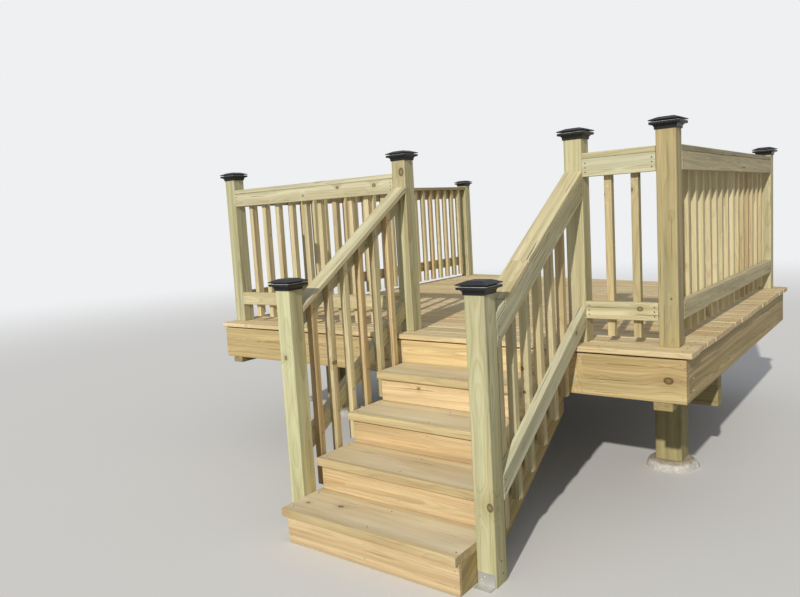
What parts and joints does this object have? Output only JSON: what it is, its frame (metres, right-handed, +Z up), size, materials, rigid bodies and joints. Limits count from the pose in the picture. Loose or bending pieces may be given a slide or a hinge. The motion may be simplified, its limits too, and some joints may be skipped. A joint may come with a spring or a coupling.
{
  "type": "timber deck with stairs",
  "caption": "Raised timber deck with a straight flight of stairs, notched stringers, baluster railings and posts with black moulded caps.",
  "frame": {"origin": "on the ground under the middle of the whole object", "axes": "+Z up, +X along the deck's front edge to the right of a person facing it, +Y from the stairs towards the wall side"},
  "size_m": [3.085, 4.3489, 1.832],
  "materials": {
    "decking": "sawn, pinkish tan",
    "rim_wood": "sawn, golden tan",
    "shaded_frame": "sawn, green-brown",
    "stringer_wood": "sawn, tan",
    "tread_wood": "sawn, grey-tan",
    "riser_wood": "planed, warm yellow",
    "post_wood": "sawn, pale olive",
    "rail_wood": "sawn, pale olive",
    "baluster_wood": "sawn, mixed tan",
    "cap_plastic": "satin black",
    "bracket_steel": "galvanised",
    "footing_concrete": "rough cast concrete"
  },
  "bodies": {
    "root": {"decking_boards": "decking", "front_rim": "rim_wood", "left_rim": "rim_wood", "right_rim": "rim_wood", "wall_ledger": "shaded_frame", "joists": "shaded_frame", "drop_beams": "shaded_frame", "beam_posts": "shaded_frame", "footings": "footing_concrete", "rim_cleats": "shaded_frame", "left_stringer": "stringer_wood", "middle_stringer": "stringer_wood", "right_stringer": "stringer_wood", "post_caps": "cap_plastic", "post_foot_bracket": "bracket_steel", "deck_rail_caps": "rail_wood", "stair_rail_caps": "rail_wood", "tread_1": "tread_wood", "tread_2": "tread_wood", "tread_3": "tread_wood", "tread_4": "tread_wood", "riser_1": "riser_wood", "riser_2": "riser_wood", "riser_3": "riser_wood", "riser_4": "riser_wood", "bottom_post_left": "post_wood", "bottom_post_right": "post_wood", "top_post_left": "post_wood", "top_post_right": "post_wood", "corner_post_left": "post_wood", "corner_post_right": "post_wood", "back_post_left": "post_wood", "back_post_right": "post_wood", "front_left_rails": "rail_wood", "front_left_balusters": "baluster_wood", "front_right_rails": "rail_wood", "front_right_balusters": "baluster_wood", "left_side_rails": "rail_wood", "left_side_balusters": "baluster_wood", "right_side_rails": "rail_wood", "right_side_balusters": "baluster_wood", "stair_left_rails": "rail_wood", "stair_left_balusters": "baluster_wood", "stair_right_rails": "rail_wood", "stair_right_balusters": "baluster_wood"}
  },
  "joints": []
}
